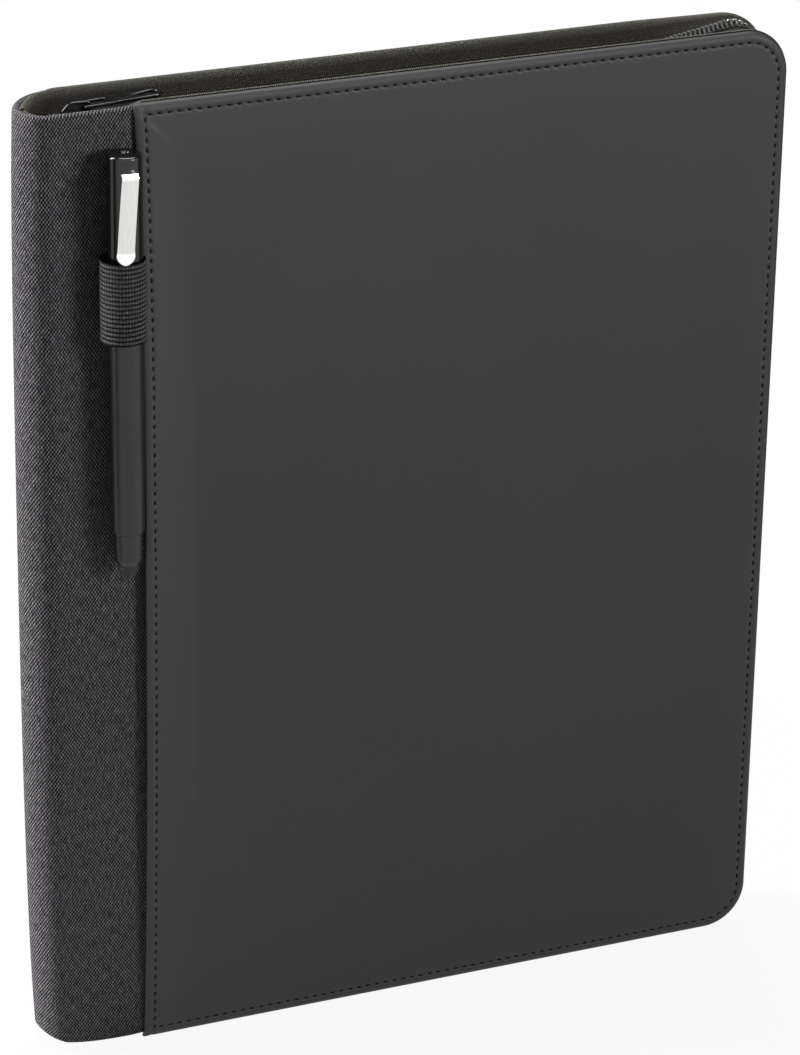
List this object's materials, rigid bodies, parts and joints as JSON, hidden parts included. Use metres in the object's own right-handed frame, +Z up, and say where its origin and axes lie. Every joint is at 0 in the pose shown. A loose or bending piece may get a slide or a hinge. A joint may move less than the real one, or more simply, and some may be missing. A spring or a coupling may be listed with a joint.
{
  "type": "zippered padfolio",
  "caption": "Letter-size zip-round padfolio with a leatherette front, a canvas-wrapped spine, an elastic loop holding a capped stylus pen, and a writing pad and pockets inside.",
  "frame": {"origin": "bottom centre of the whole part as it stands: on the plane under the covers' bottom edges, midway along the width and midway through the depth, pen included", "axes": "+X from the spine to the fore-edge, +Y from the front cover to the rear cover, +Z up"},
  "size_m": [0.257, 0.0392, 0.3257],
  "materials": {
    "leatherette": "matte polyurethane leatherette, fine grain",
    "canvas": "heathered dark grey plain-weave canvas",
    "lining": "black woven lining",
    "stiffener": "plain greyboard",
    "zip_tape": "black herringbone tape",
    "zip_coil": "black nylon coil",
    "zip_metal": "black enamelled zinc casting",
    "pocket": "black woven pocket cloth",
    "elastic": "black ribbed elastic webbing",
    "paper": "white writing paper",
    "backing_card": "grey-brown backing card",
    "binding": "dark paper binding strip",
    "pen_gloss": "gloss black",
    "pen_satin": "satin black",
    "ink_tube": "translucent white tube",
    "clip_steel": "bright brushed spring steel",
    "stylus_rubber": "soft black rubber"
  },
  "bodies": {
    "rear_half": {"rear_cover_skin": "leatherette", "rear_cover_board": "stiffener", "rear_lining": "lining", "rear_canvas": "canvas", "rear_zip_tape": "zip_tape", "rear_zip_coil": "zip_coil", "rear_zip_stops": "zip_metal", "pad_pocket": "pocket", "pad_backing_board": "backing_card", "pad_sheets": "paper", "pad_header_tape": "binding"},
    "spine": {"spine_canvas": "canvas", "spine_board": "stiffener", "spine_lining": "lining", "front_fold_canvas": "canvas", "front_fold_lining": "lining", "rear_fold_canvas": "canvas", "rear_fold_lining": "lining"},
    "front_half": {"front_cover_skin": "leatherette", "front_cover_board": "stiffener", "front_lining": "lining", "front_canvas": "canvas", "front_zip_tape": "zip_tape", "front_zip_coil": "zip_coil", "front_zip_stops": "zip_metal", "document_pocket": "pocket", "card_pocket": "pocket", "pen_loop": "elastic"},
    "zip_slider": {"slider_body": "zip_metal", "slider_bridge": "zip_metal"},
    "zip_pull": {"pull_tab": "zip_metal"},
    "pen": {"pen_barrel": "pen_satin", "pen_nose": "pen_satin", "pen_refill": "ink_tube", "stylus_ferrule": "pen_satin", "stylus_tip": "stylus_rubber"},
    "capped_end": {"pen_cap": "pen_gloss", "pen_clip": "clip_steel"}
  },
  "joints": [
    {"name": "spine_fold", "type": "hinge", "parent": "rear_half", "child": "spine", "pos_m": [-0.12655, 0.0165, 0.1625], "axis": [0, 0, -1], "range_deg": [0, 90], "deforming": ["rear_fold_canvas", "rear_fold_lining"]},
    {"name": "cover_fold", "type": "hinge", "parent": "spine", "child": "front_half", "pos_m": [-0.12655, -0.0018, 0.1625], "axis": [0, 0, -1], "range_deg": [0, 90], "deforming": ["front_fold_canvas", "front_fold_lining"]},
    {"name": "zip_travel", "type": "slide", "parent": "rear_half", "child": "zip_slider", "axis": [1, 0, 0], "range_m": [0, 0.17], "deforming": ["front_zip_coil", "rear_zip_coil"]},
    {"name": "pull_swing", "type": "hinge", "parent": "zip_slider", "child": "zip_pull", "pos_m": [-0.10595, 0.00735, 0.32295], "axis": [0, -1, 0], "range_deg": [0, 150]},
    {"name": "pen_lift", "type": "slide", "parent": "front_half", "child": "pen", "axis": [0, 0, 1], "range_m": [0, 0.11]},
    {"name": "cap_pull", "type": "slide", "parent": "pen", "child": "capped_end", "axis": [0, 0, 1], "range_m": [0, 0.045]}
  ]
}
